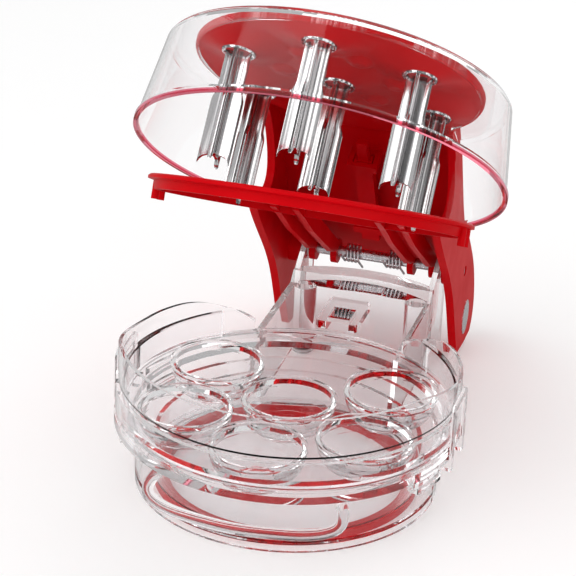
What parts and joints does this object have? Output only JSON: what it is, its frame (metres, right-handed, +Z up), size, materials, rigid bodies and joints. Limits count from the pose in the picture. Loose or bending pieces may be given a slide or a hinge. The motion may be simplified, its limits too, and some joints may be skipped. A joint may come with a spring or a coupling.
{
  "type": "cherry pitter with lever",
  "caption": "Lever-operated cherry pitter: clear base with fruit tray and stone container, hinged red head with star punches, splash shield and stripper plate.",
  "frame": {"origin": "on the axis of the round base, at the table", "axes": "+Z up, -Y to the front where the handle is, +X to the right"},
  "size_m": [0.1298, 0.1978, 0.1709],
  "materials": {
    "clear_plastic": "clear, polished",
    "red_plastic": "glossy",
    "red_satin_plastic": "satin",
    "red_rubber": "matte",
    "grey_rubber": "matte",
    "bright_steel": "polished",
    "satin_steel": "satin",
    "badge_silver": "satin, bare",
    "white_bush": "natural"
  },
  "bodies": {
    "base": {"base_body": "clear_plastic", "rear_feet": "grey_rubber", "side_guide_right": "clear_plastic", "side_guide_left": "clear_plastic", "axle_bush_right": "white_bush", "axle_bush_left": "white_bush"},
    "container": {"pit_container": "clear_plastic", "foot_ring": "red_rubber"},
    "tray": {"cherry_tray": "clear_plastic"},
    "lever": {"lever_body": "red_plastic", "top_cap": "red_plastic", "head_plate": "red_plastic", "clamp_plate": "red_satin_plastic", "clamp_screws": "satin_steel", "punch_centre": "bright_steel", "punch_rear_left": "bright_steel", "punch_front_left": "bright_steel", "punch_front": "bright_steel", "punch_front_right": "bright_steel", "punch_rear_right": "bright_steel", "splash_shield": "clear_plastic", "side_badge_left": "badge_silver", "side_badge_right": "badge_silver", "hinge_axle": "satin_steel", "lock_guide": "red_plastic", "stripper_spring_right": "satin_steel", "stripper_spring_left": "satin_steel"},
    "lock": {"lock_bar": "red_satin_plastic"},
    "stripper": {"stripper_plate": "red_plastic"}
  },
  "joints": [
    {"name": "lever_hinge", "type": "hinge", "parent": "base", "child": "lever", "pos_m": [0, 0.114, 0.036], "axis": [1, 0, 0], "range_deg": [0, 41], "stiffness_Nm_per_rad": 0.3, "springref_deg": -68.75},
    {"name": "stripper_hinge", "type": "hinge", "parent": "lever", "child": "stripper", "pos_m": [0, 0.114, 0.036], "axis": [1, 0, 0], "range_deg": [-15.5, 0]},
    {"name": "container_twist", "type": "hinge", "parent": "base", "child": "container", "pos_m": [0, 0, 0], "axis": [0, 0, 1], "range_deg": [0, 18]},
    {"name": "tray_lift", "type": "slide", "parent": "base", "child": "tray", "axis": [0, 0, 1], "range_m": [0, 0.004]},
    {"name": "lock_slide", "type": "slide", "parent": "lever", "child": "lock", "axis": [0, 0.4541, -0.8909], "range_m": [0, 0.004]}
  ],
  "couplings": [
    {"joint": "stripper_hinge", "follows": "lever_hinge", "ratio": -0.37805}
  ]
}
